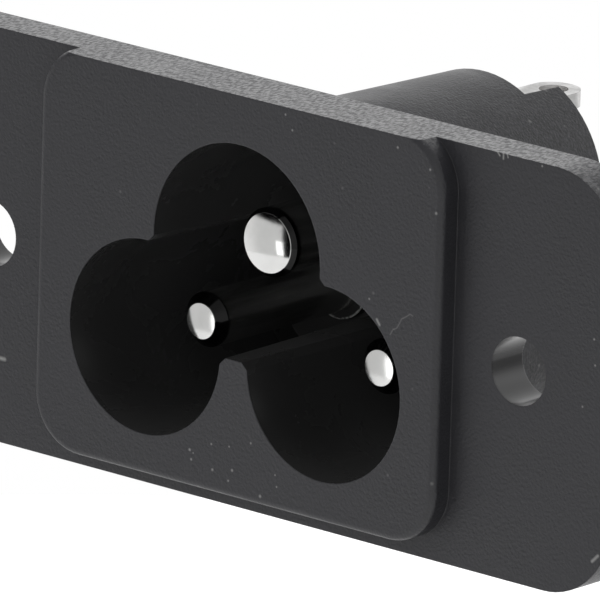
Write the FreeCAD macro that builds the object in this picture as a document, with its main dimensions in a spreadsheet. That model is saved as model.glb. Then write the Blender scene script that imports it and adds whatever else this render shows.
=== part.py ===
import FreeCAD, Part
import math
import os
import Sketcher
from FreeCAD import Rotation, Vector

# A panel-mounted power inlet: a black moulded housing with a cloverleaf recess, three plated pins riveted
# through the recess floor, and a bent solder tag behind each pin.
#
# X runs along the flange, Y points into the panel, Z is up. The origin is on the flange's rear face, which
# seats on the panel, midway between the two screw holes.

os.makedirs("parts", exist_ok=True)
document = FreeCAD.newDocument("power_inlet")

# Every size that can be set by itself, in millimetres.
SIZES = {
    # The flange and the raised boss, whose tops are flush.
    "flange_width": 40.0,
    "flange_height": 18.25,
    "flange_thick": 2.0,
    "flange_corner": 3.5,
    "boss_width": 22.45,
    "boss_height": 17.55,
    "boss_rise": 1.0,
    "boss_corner": 2.5,
    "boss_edge_round": 0.3,
    "screw_pitch": 29.6,
    "screw_hole": 2.95,
    # The cloverleaf recess, at its mouth.
    "pin_spacing": 10.0,
    "earth_rise": 2.35,
    "power_drop": 2.4,
    "earth_lobe_radius": 4.65,
    "power_lobe_radius": 4.25,
    "recess_depth": 13.0,
    "recess_taper": 0.3,
    "ridge_bevel": 0.3,
    "seat_step": 0.4,
    "seat_height": 0.5,
    # The shroud round it, behind the flange.
    "shroud_wall": 0.7,
    "earth_shroud_wall": 0.78,
    "shroud_taper": 0.45,
    "shroud_valley_drop": 2.6,
    "shroud_end_bevel": 0.25,
    "floor_thick": 2.75,
    "terminal_well_depth": 2.5,
    "terminal_well_inset": 0.6,
    "notch_width": 4.7,
    "earth_notch_left": 3.4,
    # The pins, from the tip to the seat.
    "earth_pin_diameter": 3.0,
    "earth_pin_length": 10.65,
    "earth_tip_bevel": 0.2,
    "power_pin_diameter": 2.4,
    "power_pin_length": 8.95,
    "power_tip_bevel": 0.42,
    "tip_crown_radius": 7.0,
    "pin_fit": 0.05,
    "tail_diameter": 1.8,
    "rivet_diameter": 2.7,
    "rivet_height": 0.5,
    # The solder tags.
    "tag_width": 2.3,
    "tag_thick": 0.7,
    "tag_offset": 3.4,
    "tag_reach": 5.9,
    "tag_bend": 0.3,
    "tag_eye_diameter": 3.8,
    "tag_hole": 1.3,
}

sheet = document.addObject("Spreadsheet::Sheet", "Sizes")
for row, (alias, number) in enumerate(SIZES.items(), start=1):
    sheet.set(f"A{row}", alias)
    sheet.set(f"B{row}", str(number))
    sheet.setAlias(f"B{row}", alias)
document.recompute()


class Length:
    """A length that keeps its number for drawing and its formula for driving the model from the sheet."""

    def __init__(self, number, formula):
        self.number = number
        self.formula = formula

    def __add__(self, other):
        return Length(self.number + other.number, f"({self.formula} + {other.formula})")

    def __sub__(self, other):
        return Length(self.number - other.number, f"({self.formula} - {other.formula})")

    def __neg__(self):
        return Length(-self.number, f"(-{self.formula})")

    def __truediv__(self, divisor):
        return Length(self.number / divisor, f"({self.formula} / {divisor})")


def size(alias):
    return Length(float(sheet.get(alias)), f"Sizes.{alias}")


ZERO = Length(0.0, "0")

# Turns a shape that stands along Z so that it lies along Y.
ALONG_Y = Rotation(Vector(1, 0, 0), -90)

flange_top = size("flange_height") / 2
boss_bottom = flange_top - size("boss_height")
boss_blank_top = flange_top + size("boss_edge_round")
front_face = -(size("flange_thick") + size("boss_rise"))
recess_floor = front_face + size("recess_depth")
seat_front = recess_floor - size("seat_height")
terminal_floor = recess_floor + size("floor_thick")
shroud_end = terminal_floor + size("terminal_well_depth")
pin_x = size("pin_spacing") / 2
earth_z = size("earth_rise")
power_z = -size("power_drop")
tail_hole = size("tail_diameter") + size("pin_fit")


def sketch_on(body, role, name, offset=None):
    """A sketch on one of the body's own origin planes, moved along the plane's normal."""
    sketch = body.newObject("Sketcher::SketchObject", name)
    plane = next(feature for feature in body.Origin.OriginFeatures if feature.Role == role)
    sketch.AttachmentSupport = [(plane, "")]
    sketch.MapMode = "FlatFace"
    if offset:
        sketch.setExpression("AttachmentOffset.Base.z", offset.formula)
    return sketch


def front_view_sketch(body, name, depth):
    """A sketch seen from the front, with X to the right and Z up, at a depth along Y."""
    return sketch_on(body, "XZ_Plane", name, -depth)


def set_datum(sketch, kind, *where, length):
    """A dimension driven by the sheet."""
    index = sketch.addConstraint(Sketcher.Constraint(kind, *where, length.number))
    sketch.setExpression(f"Constraints[{index}]", length.formula)


def fix_point(sketch, geometry, point, across, upward):
    """Hold a point at a distance across and upward from the sketch's origin."""
    for kind, axis, length in (("DistanceX", -2, across), ("DistanceY", -1, upward)):
        if length is ZERO:
            sketch.addConstraint(Sketcher.Constraint("PointOnObject", geometry, point, axis))
        elif length.number < 0:
            set_datum(sketch, kind, geometry, point, -1, 1, length=-length)
        else:
            set_datum(sketch, kind, -1, 1, geometry, point, length=length)


def line(sketch, start, end):
    first = Vector(start[0].number, start[1].number, 0)
    last = Vector(end[0].number, end[1].number, 0)
    return sketch.addGeometry(Part.LineSegment(first, last), False)


def arc(sketch, centre, radius, from_angle, to_angle):
    circle = Part.Circle(centre, Vector(0, 0, 1), radius)
    return sketch.addGeometry(Part.ArcOfCircle(circle, from_angle, to_angle), False)


def polygon(sketch, corners):
    """A closed outline of straight sides with every corner held."""
    sides = []
    for start, end in zip(corners, corners[1:] + corners[:1]):
        sides.append(line(sketch, start, end))
    for side, following in zip(sides, sides[1:] + sides[:1]):
        sketch.addConstraint(Sketcher.Constraint("Coincident", side, 2, following, 1))
    for side, corner in zip(sides, corners):
        fix_point(sketch, side, 1, *corner)


def rounded_rectangle(sketch, half_width, bottom, top, corner):
    """A rectangle about the vertical axis with four equal round corners."""
    right = half_width.number
    low = bottom.number
    high = top.number
    radius = corner.number
    turn = math.pi / 2
    centres = [(right, low, -1, 1), (right, high, -1, -1), (-right, high, 1, -1), (-right, low, 1, 1)]
    arcs = []
    for quarter, (x, z, inward, upward) in enumerate(centres):
        centre = Vector(x + inward * radius, z + upward * radius, 0)
        arcs.append(arc(sketch, centre, radius, (quarter - 1) * turn, quarter * turn))
    sides = []
    for first, second in zip(arcs, arcs[1:] + arcs[:1]):
        start = sketch.Geometry[first].EndPoint
        end = sketch.Geometry[second].StartPoint
        sides.append(sketch.addGeometry(Part.LineSegment(start, end), False))
    for first, side, second in zip(arcs, sides, arcs[1:] + arcs[:1]):
        sketch.addConstraint(Sketcher.Constraint("Tangent", first, 2, side, 1))
        sketch.addConstraint(Sketcher.Constraint("Tangent", side, 2, second, 1))
    right_side, top_side, left_side, bottom_side = sides
    for side in (right_side, left_side):
        sketch.addConstraint(Sketcher.Constraint("Vertical", side))
    for side in (top_side, bottom_side):
        sketch.addConstraint(Sketcher.Constraint("Horizontal", side))
    for other in arcs[1:]:
        sketch.addConstraint(Sketcher.Constraint("Equal", arcs[0], other))
    set_datum(sketch, "Radius", arcs[0], length=corner)
    set_datum(sketch, "DistanceX", -1, 1, right_side, 1, length=half_width)
    set_datum(sketch, "DistanceX", left_side, 1, -1, 1, length=half_width)
    set_datum(sketch, "DistanceY", -1, 1, top_side, 1, length=top)
    set_datum(sketch, "DistanceY", bottom_side, 1, -1, 1, length=-bottom)


def circle(sketch, across, upward, diameter):
    centre = Vector(across.number, upward.number, 0)
    index = sketch.addGeometry(Part.Circle(centre, Vector(0, 0, 1), diameter.number / 2), False)
    fix_point(sketch, index, 3, across, upward)
    set_datum(sketch, "Diameter", index, length=diameter)


def pad(body, sketch, name, length, reverse=False):
    feature = body.newObject("PartDesign::Pad", name)
    feature.Profile = sketch
    feature.Reversed = reverse
    feature.setExpression("Length", length.formula)
    document.recompute()
    return feature


def pocket(body, sketch, name, length, reverse=False):
    """Cut a profile to a depth, and make sure that it took something away."""
    before = body.Shape.Volume
    feature = body.newObject("PartDesign::Pocket", name)
    feature.Profile = sketch
    feature.Reversed = reverse
    feature.setExpression("Length", length.formula)
    document.recompute()
    if not feature.Shape.Volume < before:
        raise RuntimeError(f"{name} cut nothing")
    return feature


def set_place(thing, across, depth, upward):
    """Hold a body's or a feature's place along X, Y and Z."""
    thing.setExpression("Placement.Base.x", across.formula)
    thing.setExpression("Placement.Base.y", depth.formula)
    thing.setExpression("Placement.Base.z", upward.formula)


def cloverleaf(body, kind, name, start, depth, earth_radius, power_radius, taper, bridge_drop):
    """Three lobes along Y, one above and two below, joined by a bridge between the two lower ones."""
    # Each lobe is turned so that its seam faces the middle, where the lobes merge.
    for lobe, across, upward, radius, turn in (
        ("earth", ZERO, earth_z, earth_radius, 90),
        ("line", -pin_x, power_z, power_radius, -45),
        ("neutral", pin_x, power_z, power_radius, -135),
    ):
        cone = body.newObject(f"PartDesign::{kind}Cone", f"{name}_{lobe}")
        cone.Placement.Rotation = ALONG_Y * Rotation(Vector(0, 0, 1), turn)
        set_place(cone, across, start, upward)
        cone.setExpression("Radius1", radius.formula)
        cone.setExpression("Radius2", (radius - taper).formula)
        cone.setExpression("Height", depth.formula)
    # The bridge ends inside the lower lobes at their narrow ends, and reaches up into the upper lobe.
    bridge_half = pin_x - power_radius / 1.5
    bridge = body.newObject(f"PartDesign::{kind}Box", f"{name}_bridge")
    set_place(bridge, -bridge_half, start, power_z - bridge_drop)
    bridge.setExpression("Length", (bridge_half + bridge_half).formula)
    bridge.setExpression("Width", depth.formula)
    bridge.setExpression("Height", (bridge_drop + earth_z).formula)
    document.recompute()
    return bridge


def dress_edges(body, base, name, kind, amount, chosen):
    """Fillet or chamfer every edge of the base that the choice accepts."""
    edges = [f"Edge{index}" for index, edge in enumerate(base.Shape.Edges, start=1) if chosen(edge)]
    if not edges:
        raise RuntimeError(f"{name} found no edge")
    feature = body.newObject(f"PartDesign::{kind}", name)
    feature.Base = (base, edges)
    feature.setExpression("Radius" if kind == "Fillet" else "Size", amount.formula)
    document.recompute()
    return feature


def near(first, second):
    return abs(first - second) < 1e-4


def rises(edge):
    """How far apart along Y an edge's ends are."""
    return abs(edge.Vertexes[0].Y - edge.Vertexes[-1].Y)


def make_body(label):
    body = document.addObject("PartDesign::Body", label)
    body.Label = label
    return body


# The housing: flange and boss first, then the shroud, the recess and the terminal well behind its floor.
housing = make_body("housing")

flange_outline = front_view_sketch(housing, "flange_outline", ZERO)
rounded_rectangle(flange_outline, size("flange_width") / 2, -flange_top, flange_top, size("flange_corner"))
pad(housing, flange_outline, "flange", size("flange_thick"))

# The boss starts out taller by the rounding of its edge, which is later trimmed off at the top.
boss_outline = front_view_sketch(housing, "boss_outline", -size("flange_thick"))
rounded_rectangle(boss_outline, size("boss_width") / 2, boss_bottom, boss_blank_top, size("boss_corner"))
pad(housing, boss_outline, "boss", size("boss_rise"))

screw_sketch = front_view_sketch(housing, "screw_sketch", ZERO)
for side in (-(size("screw_pitch") / 2), size("screw_pitch") / 2):
    circle(screw_sketch, side, ZERO, size("screw_hole"))
pocket(housing, screw_sketch, "screw_holes", size("flange_thick"), reverse=True)

# The shroud follows the recess with a thin wall and tapers so that it leaves the mould.
shroud_earth_radius = size("earth_lobe_radius") + size("earth_shroud_wall")
shroud_power_radius = size("power_lobe_radius") + size("shroud_wall")
shroud = cloverleaf(
    housing,
    "Additive",
    "shroud",
    ZERO,
    shroud_end,
    shroud_earth_radius,
    shroud_power_radius,
    size("shroud_taper"),
    size("shroud_valley_drop"),
)
dress_edges(
    housing,
    shroud,
    "shroud_rim",
    "Chamfer",
    size("shroud_end_bevel"),
    lambda edge: near(edge.BoundBox.YMin, shroud_end.number),
)

# The recess narrows towards its floor. The ridges between its lobes are slightly bevelled.
recess = cloverleaf(
    housing,
    "Subtractive",
    "recess",
    front_face,
    size("recess_depth"),
    size("earth_lobe_radius"),
    size("power_lobe_radius"),
    size("recess_taper"),
    ZERO,
)
recess_ridges = dress_edges(
    housing,
    recess,
    "recess_ridges",
    "Chamfer",
    size("ridge_bevel"),
    lambda edge: near(rises(edge), size("recess_depth").number),
)

dress_edges(
    housing,
    recess_ridges,
    "boss_edge",
    "Fillet",
    size("boss_edge_round"),
    lambda edge: near(edge.BoundBox.YMax, front_face.number)
    and near(edge.BoundBox.YLength, 0)
    and (
        near(abs(edge.CenterOfMass.x), size("boss_width").number / 2)
        or near(edge.CenterOfMass.z, boss_blank_top.number)
        or near(edge.CenterOfMass.z, boss_bottom.number)
    ),
)

# The boss is flush with the flange at the top, so its upper edge is sharp and only the others are rounded.
trim_sketch = front_view_sketch(housing, "trim_sketch", -size("flange_thick"))
boss_right = size("boss_width") / 2
polygon(
    trim_sketch,
    [
        (-boss_right, flange_top),
        (boss_right, flange_top),
        (boss_right, boss_blank_top),
        (-boss_right, boss_blank_top),
    ],
)
pocket(housing, trim_sketch, "flush_top", size("boss_rise"), reverse=True)

# Each pin stands on a round seat, a little wider than the pin, on the recess floor.
seat_sketch = front_view_sketch(housing, "seat_sketch", recess_floor)
for across, upward, pin_diameter in (
    (ZERO, earth_z, size("earth_pin_diameter")),
    (-pin_x, power_z, size("power_pin_diameter")),
    (pin_x, power_z, size("power_pin_diameter")),
):
    circle(seat_sketch, across, upward, pin_diameter + size("seat_step") + size("seat_step"))
pad(housing, seat_sketch, "pin_seats", size("seat_height"))

# Behind the floor, a well in each lobe holds a tag, and a notch in the lobe's outer wall lets it be soldered.
# The earth notch is wider on its left.
cloverleaf(
    housing,
    "Subtractive",
    "terminal_well",
    terminal_floor,
    size("terminal_well_depth"),
    size("earth_lobe_radius") - size("terminal_well_inset"),
    size("power_lobe_radius") - size("terminal_well_inset"),
    ZERO,
    ZERO,
)

notch_sketch = front_view_sketch(housing, "notch_sketch", shroud_end)
notch_half = size("notch_width") / 2
notch_top = earth_z + shroud_earth_radius
notch_bottom = power_z - shroud_power_radius
for middle, left_half, inner, outer in (
    (ZERO, size("earth_notch_left"), earth_z, notch_top),
    (-pin_x, notch_half, power_z, notch_bottom),
    (pin_x, notch_half, power_z, notch_bottom),
):
    left = middle - left_half
    right = middle + notch_half
    polygon(notch_sketch, [(left, inner), (right, inner), (right, outer), (left, outer)])
pocket(housing, notch_sketch, "tag_notches", size("terminal_well_depth"), reverse=True)

tail_sketch = front_view_sketch(housing, "tail_sketch", terminal_floor)
for across, upward in ((ZERO, earth_z), (-pin_x, power_z), (pin_x, power_z)):
    circle(tail_sketch, across, upward, tail_hole)
pocket(housing, tail_sketch, "tail_holes", size("floor_thick") + size("seat_height"), reverse=True)


def make_pin(label, across, upward, diameter, length, tip_bevel):
    """A turned pin: a crowned tip, a foot on its seat and a tail riveted over its tag."""
    body = make_body(label)
    shank = diameter / 2
    tail = size("tail_diameter") / 2
    rivet = size("rivet_diameter") / 2
    crown = size("tip_crown_radius")
    rivet_seat = length + size("seat_height") + size("floor_thick") + size("tag_thick")
    end = rivet_seat + size("rivet_height")
    profile = sketch_on(body, "XZ_Plane", f"{label}_profile")
    # The crown is a shallow cap about the axis, and a bevel leads from it to the shank.
    crown_edge = shank - tip_bevel
    turn_out = math.asin(crown_edge.number / crown.number)
    tip = arc(profile, Vector(0, crown.number, 0), crown.number, -math.pi / 2, turn_out - math.pi / 2)
    bevel_start = profile.Geometry[tip].EndPoint
    bevel_end = Vector(shank.number, bevel_start.y + tip_bevel.number, 0)
    bevel = profile.addGeometry(Part.LineSegment(bevel_start, bevel_end), False)
    side = profile.addGeometry(Part.LineSegment(bevel_end, Vector(shank.number, length.number, 0)), False)
    # The rivet head slopes in to the tail's own width, as the tail is upset over the tag.
    corners = [
        (shank, length),
        (tail, length),
        (tail, rivet_seat),
        (rivet, rivet_seat),
        (tail, end),
        (ZERO, end),
        (ZERO, ZERO),
    ]
    steps = [line(profile, *ends) for ends in zip(corners, corners[1:])]
    outline = [tip, bevel, side, *steps, tip]
    for edge, following in zip(outline, outline[1:]):
        profile.addConstraint(Sketcher.Constraint("Coincident", edge, 2, following, 1))
    profile.addConstraint(Sketcher.Constraint("Vertical", side))
    for edge, corner in zip([side, *steps], corners):
        fix_point(profile, edge, 2, *corner)
    profile.addConstraint(Sketcher.Constraint("PointOnObject", tip, 3, -2))
    set_datum(profile, "Radius", tip, length=crown)
    set_datum(profile, "DistanceX", -1, 1, bevel, 1, length=crown_edge)
    set_datum(profile, "DistanceY", bevel, 1, bevel, 2, length=tip_bevel)
    turned = body.newObject("PartDesign::Revolution", f"{label}_turned")
    turned.Profile = profile
    turned.ReferenceAxis = (profile, ["V_Axis"])
    document.recompute()
    body.Placement.Rotation = ALONG_Y
    set_place(body, across, seat_front - length, upward)
    return body


def make_tag(label, across, upward, turn):
    """A stamped strip: an eye under the rivet, a right-angle bend and a soldering blade with a hole."""
    body = make_body(label)
    thick = size("tag_thick")
    bend = size("tag_bend") + thick
    reach = size("tag_reach")
    offset = size("tag_offset")
    side_view = sketch_on(body, "YZ_Plane", f"{label}_side")
    straight = [
        ((bend, offset), (reach, offset)),
        ((reach, offset), (reach, offset - thick)),
        ((reach, offset - thick), (bend, offset - thick)),
        ((thick, offset - bend), (thick, ZERO)),
        ((thick, ZERO), (ZERO, ZERO)),
        ((ZERO, ZERO), (ZERO, offset - bend)),
    ]
    top, end, under, inner, foot, outer = [line(side_view, *ends) for ends in straight]
    centre = Vector(bend.number, (offset - bend).number, 0)
    inner_bend = arc(side_view, centre, size("tag_bend").number, math.pi / 2, math.pi)
    outer_bend = arc(side_view, centre, bend.number, math.pi / 2, math.pi)
    for edge, following in ((top, end), (end, under), (inner, foot), (foot, outer)):
        side_view.addConstraint(Sketcher.Constraint("Coincident", edge, 2, following, 1))
    for edge, point, bent, bent_point in (
        (under, 2, inner_bend, 1),
        (inner, 1, inner_bend, 2),
        (top, 1, outer_bend, 1),
        (outer, 2, outer_bend, 2),
    ):
        side_view.addConstraint(Sketcher.Constraint("Coincident", edge, point, bent, bent_point))
    for edge, ends in zip((top, end, under, inner, foot, outer), straight):
        fix_point(side_view, edge, 1, *ends[0])
    fix_point(side_view, under, 2, *straight[2][1])
    fix_point(side_view, outer, 2, *straight[5][1])
    for bent in (inner_bend, outer_bend):
        set_datum(side_view, "DistanceX", -1, 1, bent, 3, length=bend)
    strip = pad(body, side_view, f"{label}_strip", size("tag_width"))
    strip.SideType = "Symmetric"
    document.recompute()
    dress_edges(
        body,
        strip,
        f"{label}_end",
        "Fillet",
        size("tag_width") / 2.1,
        lambda edge: near(edge.BoundBox.ZLength, thick.number) and near(edge.CenterOfMass.y, reach.number),
    )
    eye = sketch_on(body, "XZ_Plane", f"{label}_eye_outline")
    circle(eye, ZERO, ZERO, size("tag_eye_diameter"))
    pad(body, eye, f"{label}_eye", thick, reverse=True)
    rivet_hole = sketch_on(body, "XZ_Plane", f"{label}_rivet_outline")
    circle(rivet_hole, ZERO, ZERO, tail_hole)
    pocket(body, rivet_hole, f"{label}_rivet_hole", thick)
    wire_hole = sketch_on(body, "XY_Plane", f"{label}_wire_outline", offset - thick)
    circle(wire_hole, ZERO, reach - size("tag_width") / 2, size("tag_hole"))
    pocket(body, wire_hole, f"{label}_wire_hole", thick, reverse=True)
    body.Placement.Rotation = Rotation(Vector(0, 1, 0), turn)
    set_place(body, across, terminal_floor, upward)
    return body


# The earth pin is the thickest and the longest, so it meets its contact first.
earth_pin = make_pin(
    "earth_pin", ZERO, earth_z, size("earth_pin_diameter"), size("earth_pin_length"), size("earth_tip_bevel")
)
power_pins = []
for label, across in (("line_pin", -pin_x), ("neutral_pin", pin_x)):
    power_pins.append(
        make_pin(
            label,
            across,
            power_z,
            size("power_pin_diameter"),
            size("power_pin_length"),
            size("power_tip_bevel"),
        )
    )

# The earth tag's blade lies above its pin, and the other two hang below theirs.
earth_tag = make_tag("earth_tag", ZERO, earth_z, 0)
line_tag = make_tag("line_tag", -pin_x, power_z, 180)
neutral_tag = make_tag("neutral_tag", pin_x, power_z, 180)

document.recompute()
for thing in document.Objects:
    if "Invalid" in thing.State or "Error" in thing.State:
        raise RuntimeError(f"{thing.Name} failed: {thing.State}")

for piece in (housing, earth_pin, *power_pins, earth_tag, line_tag, neutral_tag):
    shape = piece.Shape
    if shape.isNull() or not shape.isValid() or len(shape.Solids) != 1:
        raise RuntimeError(f"{piece.Label} is not one valid solid")
    shape.exportStep(f"parts/{piece.Label}.step")
    print(piece.Label, round(shape.Volume, 3), "cubic mm", shape.BoundBox)
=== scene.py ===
# %% [markdown]
# # A panel power inlet in Blender
#
# The real object is a small black moulding with three plated pins in a cloverleaf recess. It was drawn as
# solids first, in millimetres, and packed. Here it gets its looks: the camera of the photograph, soft studio
# light, and a surface for the plastic, the pins and the tags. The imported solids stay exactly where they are.

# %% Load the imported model
import math

import bpy
from mathutils import Matrix, Vector


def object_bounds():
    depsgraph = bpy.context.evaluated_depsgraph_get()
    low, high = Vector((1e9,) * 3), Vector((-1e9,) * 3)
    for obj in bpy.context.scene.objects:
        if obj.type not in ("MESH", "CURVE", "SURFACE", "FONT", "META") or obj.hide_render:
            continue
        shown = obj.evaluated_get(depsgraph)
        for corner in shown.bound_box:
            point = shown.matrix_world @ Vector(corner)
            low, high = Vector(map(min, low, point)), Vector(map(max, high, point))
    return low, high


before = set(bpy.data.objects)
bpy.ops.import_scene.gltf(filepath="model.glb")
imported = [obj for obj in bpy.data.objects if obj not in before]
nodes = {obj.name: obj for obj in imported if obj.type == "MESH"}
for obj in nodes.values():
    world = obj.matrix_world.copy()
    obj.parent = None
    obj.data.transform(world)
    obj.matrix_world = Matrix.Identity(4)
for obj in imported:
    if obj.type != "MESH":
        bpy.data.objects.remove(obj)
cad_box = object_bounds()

print("nodes:", ", ".join(sorted(nodes)))
print("box in mm:", [[round(value * 1000, 2) for value in corner] for corner in cad_box])

# %% [markdown]
# ## The camera
#
# A camera could be moved by eye until the picture fits. This one was solved from the photograph's own edges:
# two angles, a slight roll, a distance and a very long lens, so the view is almost parallel. The camera's
# axes are worked out from those angles and written straight into its matrix.

# %% Camera
MM = 0.001
VIEW_YAW = math.radians(40.625)
VIEW_PITCH = math.radians(15.533)
VIEW_ROLL = math.radians(1.690)
VIEW_DISTANCE = 640.33 * MM
VIEW_ASIDE = 2.082 * MM
VIEW_ABOVE = 0.0495 * MM
SENSOR_MM = 36.0
LENS_MM = 912.4
FLANGE_FACE = -2.0

backward = Vector((
    math.sin(VIEW_YAW) * math.cos(VIEW_PITCH),
    -math.cos(VIEW_YAW) * math.cos(VIEW_PITCH),
    math.sin(VIEW_PITCH),
))
level_right = (-backward).cross(Vector((0, 0, 1))).normalized()
level_up = level_right.cross(-backward)
camera_right = level_right * math.cos(VIEW_ROLL) + level_up * math.sin(VIEW_ROLL)
camera_up = level_up * math.cos(VIEW_ROLL) - level_right * math.sin(VIEW_ROLL)
eye = Vector((0, FLANGE_FACE * MM, 0)) + backward * VIEW_DISTANCE
eye += camera_right * VIEW_ASIDE + camera_up * VIEW_ABOVE

camera_data = bpy.data.cameras.new("photo_camera")
camera_data.sensor_fit = "HORIZONTAL"
camera_data.sensor_width = SENSOR_MM
camera_data.lens = LENS_MM
camera = bpy.data.objects.new("photo_camera", camera_data)
turned = Matrix((camera_right, camera_up, backward)).transposed().to_4x4()
camera.matrix_world = Matrix.Translation(eye) @ turned
bpy.context.scene.collection.objects.link(camera)
bpy.context.scene.camera = camera
print("camera at", [round(value, 4) for value in eye], "m, lens", camera_data.lens, "mm")

# %% [markdown]
# ## Small helpers for node trees
#
# Materials are trees of nodes. Building them by hand means a line for each node, each value and each link.
# A few helpers keep that readable: one adds a node with its values and links, and the others use it for sums,
# smooth steps, noise and node groups.

# %% Node helpers
def add(tree, kind, inputs=None, **settings):
    """Add a node. A socket given as an input is linked; anything else becomes the input's own value."""
    made = tree.nodes.new(kind)
    for name, value in settings.items():
        setattr(made, name, value)
    for name, value in (inputs or {}).items():
        if isinstance(value, bpy.types.NodeSocket):
            tree.links.new(value, made.inputs[name])
        else:
            made.inputs[name].default_value = value
    return made


def work_out(tree, operation, *terms, clamp=False):
    """A math node's result. The terms are sockets or plain numbers."""
    inputs = dict(enumerate(terms))
    return add(tree, "ShaderNodeMath", inputs, operation=operation, use_clamp=clamp).outputs["Value"]


def product(tree, first, *others):
    """Several values multiplied."""
    result = first
    for other in others:
        result = work_out(tree, "MULTIPLY", result, other)
    return result


def work_out_vectors(tree, operation, *terms):
    """A vector math node's results. The terms are sockets or plain vectors."""
    return add(tree, "ShaderNodeVectorMath", dict(enumerate(terms)), operation=operation).outputs


def scaled(tree, vector, factor):
    """A vector made longer or shorter."""
    made = add(tree, "ShaderNodeVectorMath", {0: vector, "Scale": factor}, operation="SCALE")
    return made.outputs["Vector"]


def noise(tree, where, scale, detail, roughness):
    """Soft noise over the part."""
    inputs = {"Vector": where, "Scale": scale, "Detail": detail, "Roughness": roughness}
    return add(tree, "ShaderNodeTexNoise", inputs, noise_dimensions="3D").outputs["Fac"]


def ease(tree, value, low, high, from_value=0.0, to_value=1.0):
    """Go smoothly from one number to another while a value goes from low to high."""
    inputs = {
        "Value": value,
        "From Min": low,
        "From Max": high,
        "To Min": from_value,
        "To Max": to_value,
    }
    return add(tree, "ShaderNodeMapRange", inputs, interpolation_type="SMOOTHSTEP").outputs["Result"]


def new_group(name, inputs, outputs):
    """An empty node group with named sockets. Returns it with its input and output nodes."""
    group = bpy.data.node_groups.new(name, "ShaderNodeTree")
    for label, kind, value in inputs:
        socket = group.interface.new_socket(name=label, in_out="INPUT", socket_type=kind)
        if value is not None:
            socket.default_value = value
    for label, kind in outputs:
        group.interface.new_socket(name=label, in_out="OUTPUT", socket_type=kind)
    return group, group.nodes.new("NodeGroupInput").outputs, group.nodes.new("NodeGroupOutput").inputs


def place(tree, group, **inputs):
    """Put a group into a tree. Input names are written with underscores for their spaces."""
    made = tree.nodes.new("ShaderNodeGroup")
    made.node_tree = group
    for name, value in inputs.items():
        socket = made.inputs[name.replace("_", " ")]
        if isinstance(value, bpy.types.NodeSocket):
            tree.links.new(value, socket)
        else:
            socket.default_value = value
    return made.outputs


print("helpers ready")

# %% [markdown]
# ## Light, floor and background
#
# Small parts are photographed in a white tent: light comes from everywhere, and the background is plain
# white. So the world is white to the camera, and a little dimmer as a light. Mirrors need more than white:
# bright metal in an all-white tent looks like paper. A real tent is greyer on the photographer's side and has
# a slit there for the lens, and the pins show the slit as a dark patch. So reflections find the tent white at
# the back and grey in front, with one dark upright band and a dark patch above the horizon on its left. The
# low corner at the back right is in shade, which the wall of the screw hole shows.

# %% World
WHITE = (1, 1, 1, 1)
AMBIENT = 0.60
TENT_FRONT = Vector((0.5, -0.866, 0.0))
FRONT_GREY = 0.63
OVERHEAD_GREY = 0.6
CORNER_SHADE = 0.5
SLIT_TURN = math.radians(19)
SLIT_EDGE = (0.129, 0.094)
ACROSS_SLIT = Vector((-math.cos(SLIT_TURN), math.sin(SLIT_TURN), 0.0))

world = bpy.data.worlds.new("white_tent")
bpy.context.scene.world = world
world.use_nodes = True
tree = world.node_tree
tree.nodes.clear()
direction = tree.nodes.new("ShaderNodeTexCoord").outputs["Generated"]
sight = add(tree, "ShaderNodeSeparateXYZ", {"Vector": direction}).outputs
towards_front = work_out_vectors(tree, "DOT_PRODUCT", direction, TENT_FRONT)["Value"]
tent_wall = ease(tree, towards_front, -0.2, 0.3, 1.0, FRONT_GREY)
overhead = ease(tree, sight["Z"], 0.25, 0.75, 1.0, OVERHEAD_GREY)
far_right = product(tree, ease(tree, sight["X"], 0.2, 0.45), ease(tree, sight["Y"], 0.3, 0.6))
low_corner = product(tree, far_right, ease(tree, sight["Z"], 0.3, -0.2))
shaded = work_out(tree, "MULTIPLY_ADD", low_corner, -CORNER_SHADE, 1.0)

aside = work_out_vectors(tree, "DOT_PRODUCT", direction, ACROSS_SLIT)["Value"]
slit = ease(tree, work_out(tree, "ABSOLUTE", aside), *SLIT_EDGE)
above = ease(tree, sight["Z"], -0.06, -0.03)
on_left = ease(tree, sight["X"], -0.25, -0.40)
in_front = ease(tree, sight["Y"], 0.1, -0.15)
dark = work_out(tree, "MAXIMUM", slit, product(tree, above, on_left))
lit = work_out(tree, "SUBTRACT", 1.0, product(tree, dark, in_front))
mirrored = product(tree, lit, tent_wall, overhead, shaded)

path = tree.nodes.new("ShaderNodeLightPath").outputs
seen = work_out(tree, "MAXIMUM", path["Is Camera Ray"], path["Is Transmission Ray"])
ambient = add(tree, "ShaderNodeBackground", {"Color": WHITE, "Strength": AMBIENT}).outputs[0]
tent = add(tree, "ShaderNodeBackground", {"Color": WHITE, "Strength": mirrored}).outputs[0]
backdrop = add(tree, "ShaderNodeBackground", {"Color": WHITE, "Strength": 1.0}).outputs[0]
around = add(tree, "ShaderNodeMixShader", {0: path["Is Glossy Ray"], 1: ambient, 2: tent}).outputs[0]
whole = add(tree, "ShaderNodeMixShader", {0: seen, 1: around, 2: backdrop}).outputs[0]
add(tree, "ShaderNodeOutputWorld", {"Surface": whole})
bpy.context.scene.view_settings.view_transform = "Standard"
print("world:", world.name)

# %% [markdown]
# Two large lamps give the light a direction. A third one is only a narrow strip beside the tent's slit: its
# light hardly counts, but the crowned ends of the pins mirror it as a bright bar. The large ones are hidden
# from mirrors, so the metal shows the tent, the floor and the strip.

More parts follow.
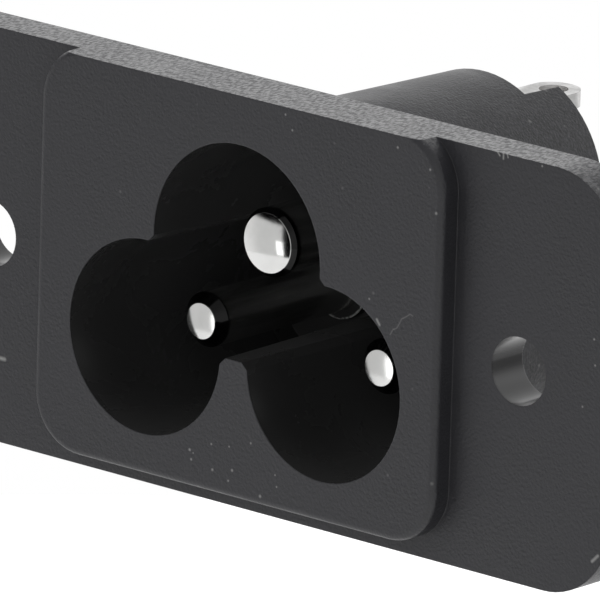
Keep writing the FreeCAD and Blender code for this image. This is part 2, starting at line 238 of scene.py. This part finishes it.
# %% Lamps
def soft_lamp(name, place_at, width, height, power):
    """A rectangular lamp that faces the part."""
    data = bpy.data.lights.new(name, "AREA")
    data.shape = "RECTANGLE"
    data.size = width
    data.size_y = height
    data.energy = power
    lamp = bpy.data.objects.new(name, data)
    lamp.location = place_at
    lamp.rotation_euler = (-Vector(place_at)).to_track_quat("-Z", "Y").to_euler()
    lamp.visible_camera = False
    bpy.context.scene.collection.objects.link(lamp)
    return lamp


lamps = [
    soft_lamp("left_softbox", (-0.62, -0.55, 0.62), 0.6, 0.6, 4.0),
    soft_lamp("top_softbox", (-0.05, 0.25, 0.95), 0.7, 0.7, 3.5),
    soft_lamp("strip_light", (-0.0965, -0.1813, -0.057), 0.020, 0.030, 0.0021),
]
for softbox in lamps[:2]:
    softbox.visible_glossy = False
print("lamps:", [lamp.name for lamp in lamps])

# %% [markdown]
# The part is held up, so the floor lies some way below and keeps a soft shadow. It is a round table top,
# not an endless plane: the pins mirror it as a bright lower half with an edge.

# %% Floor
FLOOR_DROP = 35 * MM
FLOOR_RADIUS = 120 * MM
FLOOR_SIDES = 96
FLOOR_WHITE = (0.84, 0.84, 0.84, 1)
FLOOR_GLOW = 0.35

floor_height = cad_box[0][2] - FLOOR_DROP
floor_rim = []
for step in range(FLOOR_SIDES):
    turn = 2 * math.pi * step / FLOOR_SIDES
    floor_rim.append((FLOOR_RADIUS * math.cos(turn), FLOOR_RADIUS * math.sin(turn), floor_height))
floor_mesh = bpy.data.meshes.new("floor")
floor_mesh.from_pydata(floor_rim, [], [list(range(FLOOR_SIDES))])
floor = bpy.data.objects.new("floor", floor_mesh)
bpy.context.scene.collection.objects.link(floor)

floor_look = bpy.data.materials.new("white_floor")
floor_look.use_nodes = True
tree = floor_look.node_tree
floor_shader = tree.nodes["Principled BSDF"]
floor_shader.inputs["Base Color"].default_value = FLOOR_WHITE
floor_shader.inputs["Roughness"].default_value = 0.9
floor_shader.inputs["Specular IOR Level"].default_value = 0.0
floor_shader.inputs["Emission Color"].default_value = WHITE
path = tree.nodes.new("ShaderNodeLightPath").outputs
seen = work_out(tree, "MAXIMUM", path["Is Camera Ray"], path["Is Transmission Ray"])
tree.links.new(product(tree, seen, FLOOR_GLOW), floor_shader.inputs["Emission Strength"])
floor_mesh.materials.append(floor_look)
print("floor at z =", round(floor_height * 1000, 2), "mm")

# %% [markdown]
# ## Effects that several surfaces share
#
# A node group is a small tree with named sockets that can be placed in many materials. Distances round an
# axis, dust, smudges, sharp edges and scratches are used by the plastic and by the metal, so each is made
# once here. All of them work in millimetres, and give a mask or a value that changes over the surface.

# %% Group: distance from an axis that runs into the panel
axis_group, given, wanted = new_group(
    "distance_from_axis",
    [
        ("Vector", "NodeSocketVector", None),
        ("Axis X", "NodeSocketFloat", 0.0),
        ("Axis Z", "NodeSocketFloat", 0.0),
    ],
    [("Distance", "NodeSocketFloat")],
)
parts = add(axis_group, "ShaderNodeSeparateXYZ", {"Vector": given["Vector"]}).outputs
across = work_out(axis_group, "SUBTRACT", parts["X"], given["Axis X"])
upward = work_out(axis_group, "SUBTRACT", parts["Z"], given["Axis Z"])
upward_squared = product(axis_group, upward, upward)
squared = work_out(axis_group, "MULTIPLY_ADD", across, across, upward_squared)
axis_group.links.new(work_out(axis_group, "SQRT", squared), wanted["Distance"])
print("group:", axis_group.name)

# %% Group: dust, fine specks that lie here and there
dust_group, given, wanted = new_group(
    "dust_specks",
    [
        ("Vector", "NodeSocketVector", None),
        ("Cells per mm", "NodeSocketFloat", 2.5),
        ("Amount", "NodeSocketFloat", 0.3),
    ],
    [("Mask", "NodeSocketFloat")],
)
cells = add(
    dust_group,
    "ShaderNodeTexVoronoi",
    {"Vector": given["Vector"], "Scale": given["Cells per mm"], "Randomness": 1.0},
    voronoi_dimensions="3D",
    feature="F1",
).outputs
chance = add(dust_group, "ShaderNodeSeparateColor", {"Color": cells["Color"]}).outputs
radius = work_out(dust_group, "MULTIPLY_ADD", chance["Red"], 0.16, 0.05)
core = work_out(dust_group, "MULTIPLY", radius, 0.45)
speck = add(
    dust_group,
    "ShaderNodeMapRange",
    {"Value": cells["Distance"], "From Min": radius, "From Max": core, "To Min": 0.0, "To Max": 1.0},
).outputs["Result"]
kept = work_out(dust_group, "LESS_THAN", chance["Green"], given["Amount"])
dust_group.links.new(work_out(dust_group, "MULTIPLY", speck, kept), wanted["Mask"])
print("group:", dust_group.name)

# %% Group: smudges, the slow unevenness of a handled surface
smudge_group, given, wanted = new_group(
    "smudges",
    [("Vector", "NodeSocketVector", None), ("Patches per mm", "NodeSocketFloat", 0.3)],
    [("Value", "NodeSocketFloat")],
)
clouds = add(
    smudge_group,
    "ShaderNodeTexNoise",
    {
        "Vector": given["Vector"],
        "Scale": given["Patches per mm"],
        "Detail": 5.0,
        "Roughness": 0.62,
        "Distortion": 0.4,
    },
    noise_dimensions="3D",
).outputs["Fac"]
smudge_group.links.new(ease(smudge_group, clouds, 0.32, 0.68), wanted["Value"])
print("group:", smudge_group.name)

# %% Group: sharp edges, found by rounding the normals and seeing where they turn
edge_group, given, wanted = new_group(
    "sharp_edges",
    [("Width", "NodeSocketFloat", 0.00006)],
    [("Mask", "NodeSocketFloat"), ("Rounded normal", "NodeSocketVector")],
)
rounded = add(edge_group, "ShaderNodeBevel", {"Radius": given["Width"]}, samples=4).outputs["Normal"]
edge_group.links.new(rounded, wanted["Rounded normal"])
plain = edge_group.nodes.new("ShaderNodeNewGeometry").outputs["Normal"]
agreement = work_out_vectors(edge_group, "DOT_PRODUCT", rounded, plain)["Value"]
edge_group.links.new(ease(edge_group, agreement, 0.995, 0.80), wanted["Mask"])
print("group:", edge_group.name)

# %% Group: a scratch, one straight stroke across the front
stroke_group, given, wanted = new_group(
    "scratch_stroke",
    [
        ("Vector", "NodeSocketVector", None),
        ("Start", "NodeSocketVector", None),
        ("End", "NodeSocketVector", None),
        ("Width", "NodeSocketFloat", 0.04),
    ],
    [("Mask", "NodeSocketFloat")],
)
along = work_out_vectors(stroke_group, "SUBTRACT", given["End"], given["Start"])["Vector"]
away = work_out_vectors(stroke_group, "SUBTRACT", given["Vector"], given["Start"])["Vector"]
shadow = work_out_vectors(stroke_group, "DOT_PRODUCT", away, along)["Value"]
span = work_out_vectors(stroke_group, "DOT_PRODUCT", along, along)["Value"]
share = work_out(stroke_group, "DIVIDE", shadow, span, clamp=True)
foot = scaled(stroke_group, along, share)
gap = work_out_vectors(stroke_group, "DISTANCE", away, foot)["Value"]
fade = add(
    stroke_group,
    "ShaderNodeMapRange",
    {"Value": gap, "From Min": given["Width"], "From Max": 0.0, "To Min": 0.0, "To Max": 1.0},
).outputs["Result"]
stroke_group.links.new(fade, wanted["Mask"])
print("group:", stroke_group.name)


# %% Material helper
def new_surface(name):
    """A material with a Principled shader, and the place on the part in millimetres."""
    look = bpy.data.materials.new(name)
    look.use_nodes = True
    tree = look.node_tree
    shader = tree.nodes["Principled BSDF"]
    place_in_metres = tree.nodes.new("ShaderNodeTexCoord").outputs["Object"]
    spot = scaled(tree, place_in_metres, 1.0 / MM)
    return look, tree, shader, spot


def dress(node, look):
    """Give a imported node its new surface."""
    nodes[node].data.materials.clear()
    nodes[node].data.materials.append(look)


print("material helper ready")

# %% [markdown]
# ## The black plastic
#
# The housing is one moulding. Its outside was left with the fine sparkling grain of a spark-eroded mould,
# while the pins that form the recess and the screw holes leave smooth walls. Both could be painted with two
# materials, but the solid is one piece, so masks tell the grain where to stop: inside a lobe of the recess,
# or on the wall of a hole.

# %% Where the moulding is smooth
EARTH_AXIS = (0.0, 2.35)
LINE_AXIS = (-5.0, -2.4)
NEUTRAL_AXIS = (5.0, -2.4)
LOBES = ((EARTH_AXIS, 4.65), (LINE_AXIS, 4.25), (NEUTRAL_AXIS, 4.25))
SCREW_HOLES = (((-14.8, 0.0), 1.475), ((14.8, 0.0), 1.475))
BOSS_FRONT = -3.0
RECESS_FLOOR = 10.0
RIDGE_SPARE = 0.3
HOLE_SPARE = 0.04

plastic, tree, shader, spot = new_surface("black_plastic")
spot_parts = add(tree, "ShaderNodeSeparateXYZ", {"Vector": spot}).outputs
normal = tree.nodes.new("ShaderNodeNewGeometry").outputs["Normal"]
facing = add(tree, "ShaderNodeSeparateXYZ", {"Vector": normal}).outputs
behind_front = ease(tree, spot_parts["Y"], BOSS_FRONT + 0.01, BOSS_FRONT + 0.06)
before_floor = ease(tree, spot_parts["Y"], RECESS_FLOOR + 0.5, RECESS_FLOOR + 0.3)
in_depth = product(tree, behind_front, before_floor)
on_wall = ease(tree, work_out(tree, "ABSOLUTE", facing["Y"]), 0.8, 0.4)


def inside(axis, radius, spare, only_where):
    """A mask for what lies within a radius of an axis, and a little beyond."""
    distance = place(tree, axis_group, Vector=spot, Axis_X=axis[0], Axis_Z=axis[1])["Distance"]
    return product(tree, ease(tree, distance, radius + spare + 0.04, radius + spare), only_where)


def strongest(tree, masks):
    """The largest of several masks."""
    result = masks[0]
    for mask in masks[1:]:
        result = work_out(tree, "MAXIMUM", result, mask)
    return result


in_recess = strongest(tree, [inside(axis, radius, RIDGE_SPARE, in_depth) for axis, radius in LOBES])
in_hole = strongest(tree, [inside(axis, radius, HOLE_SPARE, on_wall) for axis, radius in SCREW_HOLES])
smooth = work_out(tree, "MAXIMUM", in_recess, in_hole)
grained = work_out(tree, "SUBTRACT", 1.0, smooth)
print("smooth walls:", len(LOBES), "lobes and", len(SCREW_HOLES), "screw holes")

# %% The grain of the spark-eroded mould
pits = add(
    tree,
    "ShaderNodeTexVoronoi",
    {"Vector": spot, "Scale": 7.0, "Smoothness": 0.6},
    voronoi_dimensions="3D",
    feature="SMOOTH_F1",
).outputs["Distance"]
crumbs = noise(tree, spot, scale=9.0, detail=3.0, roughness=0.6)
grain = work_out(tree, "MULTIPLY_ADD", pits, 0.6, crumbs)
height = product(tree, grain, grained)
edges = place(tree, edge_group, Width=0.08 * MM)
bump = add(
    tree,
    "ShaderNodeBump",
    {"Strength": 1.0, "Distance": 0.02 * MM, "Height": height, "Normal": edges["Rounded normal"]},
)
tree.links.new(bump.outputs["Normal"], shader.inputs["Normal"])
print("grain: about 0.12 mm from pit to pit")

# %% [markdown]
# Moulded parts pick up dust, and the photograph shows it: a scatter of pale specks below the recess, a few on
# the flange, nicks along the edges and one hair scratch beside the recess. The scattered dust is random. The
# marks that can be told apart are put where they are, in millimetres across and up the front.

# %% Marks on the front
BOSS_SPECKS = (
    (-1.1, -6.3, 0.07),
    (1.1, -5.8, 0.07),
    (-2.3, -6.8, 0.09),
    (-2.2, -7.2, 0.08),
    (-2.1, -6.9, 0.05),
    (-1.0, -7.4, 0.09),
    (0.1, -7.2, 0.09),
    (-0.1, -7.7, 0.07),
    (1.7, -8.0, 0.10),
    (-0.1, -6.2, 0.06),
    (2.5, -6.9, 0.06),
    (2.6, -7.4, 0.06),
    (8.7, 8.6, 0.08),
    (10.5, 8.0, 0.08),
    (10.9, 6.2, 0.09),
    (2.5, 8.8, 0.07),
    (2.9, 8.2, 0.07),
    (7.4, 1.8, 0.07),
    (-3.9, 4.4, 0.07),
)
FLANGE_SPECKS = ((15.7, 9.0, 0.07), (18.8, 2.2, 0.07), (18.9, 1.1, 0.07), (18.3, -0.8, 0.07))
HAIR_SCRATCH = (
    (8.6, 0.5),
    (8.75, 0.75),
    (8.95, 0.85),
    (9.1, 1.1),
    (9.2, 1.3),
    (9.45, 1.45),
    (9.65, 1.6),
    (9.8, 1.55),
)
SCRATCH_WIDTH = 0.045
SCRATCH_STRENGTH = 0.36
DUST_STRENGTH = 0.35
EDGE_NICKS = (
    ((7.85, 1.0), (8.0, 0.8), 0.09, BOSS_FRONT),
    ((13.25, 9.15), (13.4, 9.0), 0.06, FLANGE_FACE),
    ((13.6, 9.15), (13.6, 8.9), 0.07, FLANGE_FACE),
    ((13.8, 9.15), (13.85, 9.0), 0.05, FLANGE_FACE),
    ((19.1, -7.3), (19.4, -7.0), 0.10, FLANGE_FACE),
    ((-14.1, -5.4), (-13.8, -5.4), 0.13, FLANGE_FACE),
)


def mark(start, end, width, depth):
    """One pale stroke or dot on a front face."""
    first = (start[0], depth, start[1])
    last = (end[0] + 0.001, depth, end[1])
    return place(tree, stroke_group, Vector=spot, Start=first, End=last, Width=width)["Mask"]


marks = [mark((x, z), (x, z), size, BOSS_FRONT) for x, z, size in BOSS_SPECKS]
marks += [mark((x, z), (x, z), size, FLANGE_FACE) for x, z, size in FLANGE_SPECKS]
marks += [mark(start, end, width, depth) for start, end, width, depth in EDGE_NICKS]
strokes = zip(HAIR_SCRATCH, HAIR_SCRATCH[1:])
scratch = [mark(start, end, SCRATCH_WIDTH, BOSS_FRONT) for start, end in strokes]
scratch_mask = product(tree, strongest(tree, scratch), SCRATCH_STRENGTH)
dust = place(tree, dust_group, Vector=spot, Cells_per_mm=1.7, Amount=0.22)["Mask"]
dust = product(tree, dust, grained, DUST_STRENGTH)
pale = strongest(tree, [strongest(tree, marks), scratch_mask, dust])
print("marks:", len(marks), "specks and nicks,", len(scratch), "strokes in the hair scratch")

# %% [markdown]
# The foot of each pin stands on a round seat on the recess floor. The seat's front edge catches a thin,
# broken line of light, and it is the one thing that shows deep inside the recess. It is a painted highlight:
# a pale ring round each axis marks the edge, and noise breaks it up.

# %% Painted highlight on the seats
SEATS = ((EARTH_AXIS, 1.9), (LINE_AXIS, 1.6), (NEUTRAL_AXIS, 1.6))
SEAT_FRONT = 9.5


def ring(axis, radius):
    """A mask for a narrow ring at a seat's front edge."""
    distance = place(tree, axis_group, Vector=spot, Axis_X=axis[0], Axis_Z=axis[1])["Distance"]
    from_edge = work_out(tree, "ABSOLUTE", work_out(tree, "SUBTRACT", distance, radius))
    return ease(tree, from_edge, 0.12, 0.04)


from_front = work_out(tree, "ABSOLUTE", work_out(tree, "SUBTRACT", spot_parts["Y"], SEAT_FRONT))
at_front = ease(tree, from_front, 0.08, 0.03)
ragged = noise(tree, spot, scale=4.5, detail=3.0, roughness=0.7)
rings = strongest(tree, [ring(axis, radius) for axis, radius in SEATS])
seat_glint = product(tree, rings, at_front, ease(tree, ragged, 0.40, 0.56))
print("flash on", len(SEATS), "seats")

# %% [markdown]
# The flange and the boss are a plain black. The shroud's grain is coarser, and drawn out along the way the
# mould opens. The recess gets a lighter black with depth, painted light that makes up for the light that
# does not get in there, so it looks evenly dark. The screw holes' walls get a darker black, painted shade.
# Painted highlights along the sharp edges, dust and a painted highlight on the seats go over these.
#
# The flange's upper face is seen almost edge on. It looks pale and speckled like that, and black from
# above. A pale paint would be pale from everywhere, so it gets a coat instead, which mirrors more the
# flatter it is seen, and noise breaks it up. The screw holes have the same coat where their walls face up
# or down.

# %% Colour and sheen of the plastic
PLAIN_BLACK = ((0.0245, 0.0245, 0.0278, 1), (0.0290, 0.0290, 0.0329, 1))
SHROUD_BLACK = ((0.015, 0.015, 0.0170, 1), (0.029, 0.029, 0.0329, 1))
RECESS_FILL_BLACK = ((0.027, 0.027, 0.027, 1), (0.065, 0.065, 0.065, 1))
HOLE_SHADE_BLACK = (0.012, 0.012, 0.0135, 1)
EDGE_HIGHLIGHT_GREY = (0.060, 0.060, 0.064, 1)
DUST_GREY = (0.24, 0.24, 0.235, 1)
SEAT_HIGHLIGHT_GREY = (0.80, 0.80, 0.78, 1)
EDGE_HIGHLIGHT_AMOUNT = 0.4
DRAWN_OUT = (1.0, 0.4, 1.0)
HOLE_POLISH = -0.14
WALL_POLISH = -0.08
FRONT_MATTNESS = 0.10


def blend_colours(tree, mask, first, second):
    """A colour that goes from the first to the second where the mask rises."""
    mix = tree.nodes.new("ShaderNodeMix")
    mix.data_type = "RGBA"
    tree.links.new(mask, mix.inputs[0])
    for socket, colour in ((mix.inputs[6], first), (mix.inputs[7], second)):
        if isinstance(colour, bpy.types.NodeSocket):
            tree.links.new(colour, socket)
        else:
            socket.default_value = colour
    return mix.outputs[2]


cloud = place(tree, smudge_group, Vector=spot, Patches_per_mm=0.22)["Value"]
drawn_out = work_out_vectors(tree, "MULTIPLY", spot, DRAWN_OUT)["Vector"]
coarse = noise(tree, drawn_out, scale=8.0, detail=2.0, roughness=0.6)
black = blend_colours(tree, cloud, *PLAIN_BLACK)
shroud_grain = blend_colours(tree, ease(tree, coarse, 0.36, 0.64), *SHROUD_BLACK)
moulded = blend_colours(tree, ease(tree, spot_parts["Y"], 0.0, 0.1), black, shroud_grain)
# Painted shade: the walls of the screw holes are painted a darker black.
hole_shaded = blend_colours(tree, in_hole, moulded, HOLE_SHADE_BLACK)
# Painted light: the recess is painted lighter towards its floor, where less light gets in.
walls = blend_colours(tree, ease(tree, spot_parts["Y"], -2.0, 6.0), *RECESS_FILL_BLACK)
deep = blend_colours(tree, in_recess, hole_shaded, walls)
# Painted highlight: the sharp edges are painted a lighter black, as if they caught the light.
edge_lit = blend_colours(tree, product(tree, edges["Mask"], EDGE_HIGHLIGHT_AMOUNT), deep, EDGE_HIGHLIGHT_GREY)
marked = blend_colours(tree, pale, edge_lit, DUST_GREY)
# Painted highlight: pale rings on the seats' front edges.
seat_lit = blend_colours(tree, seat_glint, marked, SEAT_HIGHLIGHT_GREY)
tree.links.new(seat_lit, shader.inputs["Base Color"])

outside_sheen = ease(tree, cloud, 0.0, 1.0, 0.32, 0.40)
polish = work_out(tree, "MULTIPLY_ADD", in_hole, HOLE_POLISH, product(tree, smooth, WALL_POLISH))
matt_front = product(tree, ease(tree, facing["Y"], -0.7, -0.95), FRONT_MATTNESS)
sheen = work_out(tree, "ADD", outside_sheen, work_out(tree, "ADD", polish, matt_front))
tree.links.new(sheen, shader.inputs["Roughness"])

on_top = product(tree, ease(tree, facing["Z"], 0.6, 0.95), ease(tree, spot_parts["Y"], 0.02, -0.02))
glint = product(tree, on_top, ease(tree, coarse, 0.40, 0.60), grained)
up_or_down = ease(tree, work_out(tree, "ABSOLUTE", facing["Z"]), 0.15, 0.65)
gloss = work_out(tree, "MAXIMUM", glint, product(tree, in_hole, up_or_down))
tree.links.new(gloss, shader.inputs["Coat Weight"])
shader.inputs["Coat Roughness"].default_value = 0.3
shader.inputs["Specular IOR Level"].default_value = 0.5
shader.inputs["IOR"].default_value = 1.5
dress("housing", plastic)
print("housing dressed in", plastic.name)

# %% [markdown]
# ## The pins
#
# Each pin is turned from brass rod and plated with nickel, so fine lathe lines run round it and make rings on
# its end. A brushed texture along one direction would look drawn instead of turned. Rings need the pin's own
# axis, so one function makes the surface and is called for each pin with its centre.
#
# The end is a shallow crown, polished like a mirror. In the imported mesh all its facets meet in one point,
# where the normal can't be smooth. A mirror shows that as a spot, so the crown's normal is worked out from
# the centre of its sphere instead. The two thinner pins get a flatter sphere than the mesh has, with its
# centre a little to the left, as if the end were faced two degrees off square: in the photograph they
# mirror hardly any of the recess. The bevel round each end is a dark ring there, and it is painted almost
# black: a painted dark reflection of the recess it faces.

# %% Pins
NICKEL = (0.82, 0.82, 0.808, 1)
DULL_NICKEL = (0.69, 0.69, 0.678, 1)
BEVEL_PAINTED_DARK = (0.025, 0.025, 0.025, 1)
SHANK_ROUGHNESS = 0.14

# Node, axis, tip, the crown's depth, the radius it is shaded with and how far left that is centred
PINS = (
    ("earth_pin", EARTH_AXIS, -1.15, 0.122, 7.0, 0.0),
    ("line_pin", LINE_AXIS, 0.55, 0.044, 9.0, 0.28),
    ("neutral_pin", NEUTRAL_AXIS, 0.55, 0.044, 11.0, 0.40),
)


def blend_vectors(tree, mask, first, second):
    """A vector that changes from the first to the second where the mask is one."""
    mix = tree.nodes.new("ShaderNodeMix")
    mix.data_type = "VECTOR"
    for socket, value in ((mix.inputs[0], mask), (mix.inputs[4], first), (mix.inputs[5], second)):
        tree.links.new(value, socket)
    return mix.outputs[1]


def turned_nickel(name, axis, tip, crown_depth, crown_radius, off_square):
    """Bright turned metal with lathe lines round an axis, and a polished crown at its tip."""
    look, tree, shader, spot = new_surface(name)
    distance = place(tree, axis_group, Vector=spot, Axis_X=axis[0], Axis_Z=axis[1])["Distance"]
    depth = add(tree, "ShaderNodeSeparateXYZ", {"Vector": spot}).outputs["Y"]
    lathe_path = work_out(tree, "MULTIPLY_ADD", distance, 1.7, depth)
    lines = add(
        tree,
        "ShaderNodeTexNoise",
        {"W": lathe_path, "Scale": 22.0, "Detail": 4.0, "Roughness": 0.7},
        noise_dimensions="1D",
    ).outputs["Fac"]
    tarnish = place(tree, smudge_group, Vector=spot, Patches_per_mm=0.7)["Value"]
    plated = blend_colours(tree, product(tree, tarnish, 0.5), NICKEL, DULL_NICKEL)
    behind_crown = ease(tree, depth, tip + crown_depth, tip + crown_depth + 0.03)
    on_bevel = product(tree, behind_crown, ease(tree, depth, tip + 0.65, tip + 0.45))
    # Painted shade: the bevel is painted almost black, standing for the dark recess it mirrors.
    bevel_shaded = blend_colours(tree, on_bevel, plated, BEVEL_PAINTED_DARK)
    tree.links.new(bevel_shaded, shader.inputs["Base Color"])
    polished = ease(tree, tarnish, 0.0, 1.0, 0.05, 0.09)
    on_shank = ease(tree, depth, tip + 0.4, tip + 1.0)
    sheen = work_out(tree, "MULTIPLY_ADD", on_shank, SHANK_ROUGHNESS, polished)
    tree.links.new(work_out(tree, "MULTIPLY_ADD", lines, 0.04, sheen), shader.inputs["Roughness"])

    crown_centre = (axis[0] - off_square, tip + crown_radius, axis[1])
    outward = work_out_vectors(tree, "SUBTRACT", spot, crown_centre)["Vector"]
    crown_normal = work_out_vectors(tree, "NORMALIZE", outward)["Vector"]
    on_crown = work_out(tree, "LESS_THAN", depth, tip + crown_depth)
    plain_normal = tree.nodes.new("ShaderNodeNewGeometry").outputs["Normal"]
    smooth_normal = blend_vectors(tree, on_crown, plain_normal, crown_normal)
    ridges = add(
        tree,
        "ShaderNodeBump",
        {"Strength": 0.1, "Distance": 0.002 * MM, "Height": lines, "Normal": smooth_normal},
    )
    tree.links.new(ridges.outputs["Normal"], shader.inputs["Normal"])
    shader.inputs["Metallic"].default_value = 1.0
    return look


for node, axis, *end in PINS:
    dress(node, turned_nickel(node + "_nickel", axis, *end))
    print(node, "dressed, turned about", axis)

# %% [markdown]
# ## The solder tags
#
# The tags are stamped from rolled strip and tinned, so their lines run along the strip, and their faces are
# softer than the pins. Their sheared edges are darker, as the tin is thin there. All three are cut from the
# same strip, so they share one surface. The soldering holes stand upright, so Y and Z change places before
# the distance from their axes is taken.

# %% Tags
EYES_ACROSS = (-5.0, 0.0, 5.0)
EYE_DEPTH = 17.5
EYE_RADIUS = 0.65
ROLLED = (16.0, 1.2, 16.0)
TIN = (0.77, 0.767, 0.760, 1)
DULL_TIN = (0.57, 0.567, 0.560, 1)
SHEARED_EDGE = (0.34, 0.33, 0.32, 1)
PUNCHED_WALL = (0.90, 0.89, 0.88, 1)
TAG_DUST = (0.40, 0.39, 0.37, 1)

tin, tree, shader, spot = new_surface("tinned_strip")
stretched = work_out_vectors(tree, "MULTIPLY", spot, ROLLED)["Vector"]
rolled = noise(tree, stretched, scale=1.0, detail=4.0, roughness=0.65)
tinning = place(tree, smudge_group, Vector=spot, Patches_per_mm=0.9)["Value"]
sheared = place(tree, edge_group, Width=0.05 * MM)["Mask"]
specks = place(tree, dust_group, Vector=spot, Cells_per_mm=2.0, Amount=0.2)["Mask"]
spot_parts = add(tree, "ShaderNodeSeparateXYZ", {"Vector": spot}).outputs
upright = add(
    tree, "ShaderNodeCombineXYZ", {"X": spot_parts["X"], "Y": spot_parts["Z"], "Z": spot_parts["Y"]}
).outputs["Vector"]
from_eyes = [
    place(tree, axis_group, Vector=upright, Axis_X=x, Axis_Z=EYE_DEPTH)["Distance"]
    for x in EYES_ACROSS
]
in_eye = strongest(tree, [ease(tree, gap, EYE_RADIUS + 0.04, EYE_RADIUS + 0.01) for gap in from_eyes])
coated = blend_colours(tree, tinning, TIN, DULL_TIN)
edged = blend_colours(tree, product(tree, sheared, 0.7), coated, SHEARED_EDGE)
punched = blend_colours(tree, product(tree, in_eye, 0.6), edged, PUNCHED_WALL)
dusted = blend_colours(tree, product(tree, specks, 0.4), punched, TAG_DUST)
tree.links.new(dusted, shader.inputs["Base Color"])
sheen = ease(tree, tinning, 0.0, 1.0, 0.24, 0.36)
tree.links.new(work_out(tree, "MULTIPLY_ADD", rolled, 0.10, sheen), shader.inputs["Roughness"])
strip = add(tree, "ShaderNodeBump", {"Strength": 0.3, "Distance": 0.006 * MM, "Height": rolled})
tree.links.new(strip.outputs["Normal"], shader.inputs["Normal"])
shader.inputs["Metallic"].default_value = 1.0
for node in ("earth_tag", "line_tag", "neutral_tag"):
    dress(node, tin)
print("tags dressed in", tin.name)
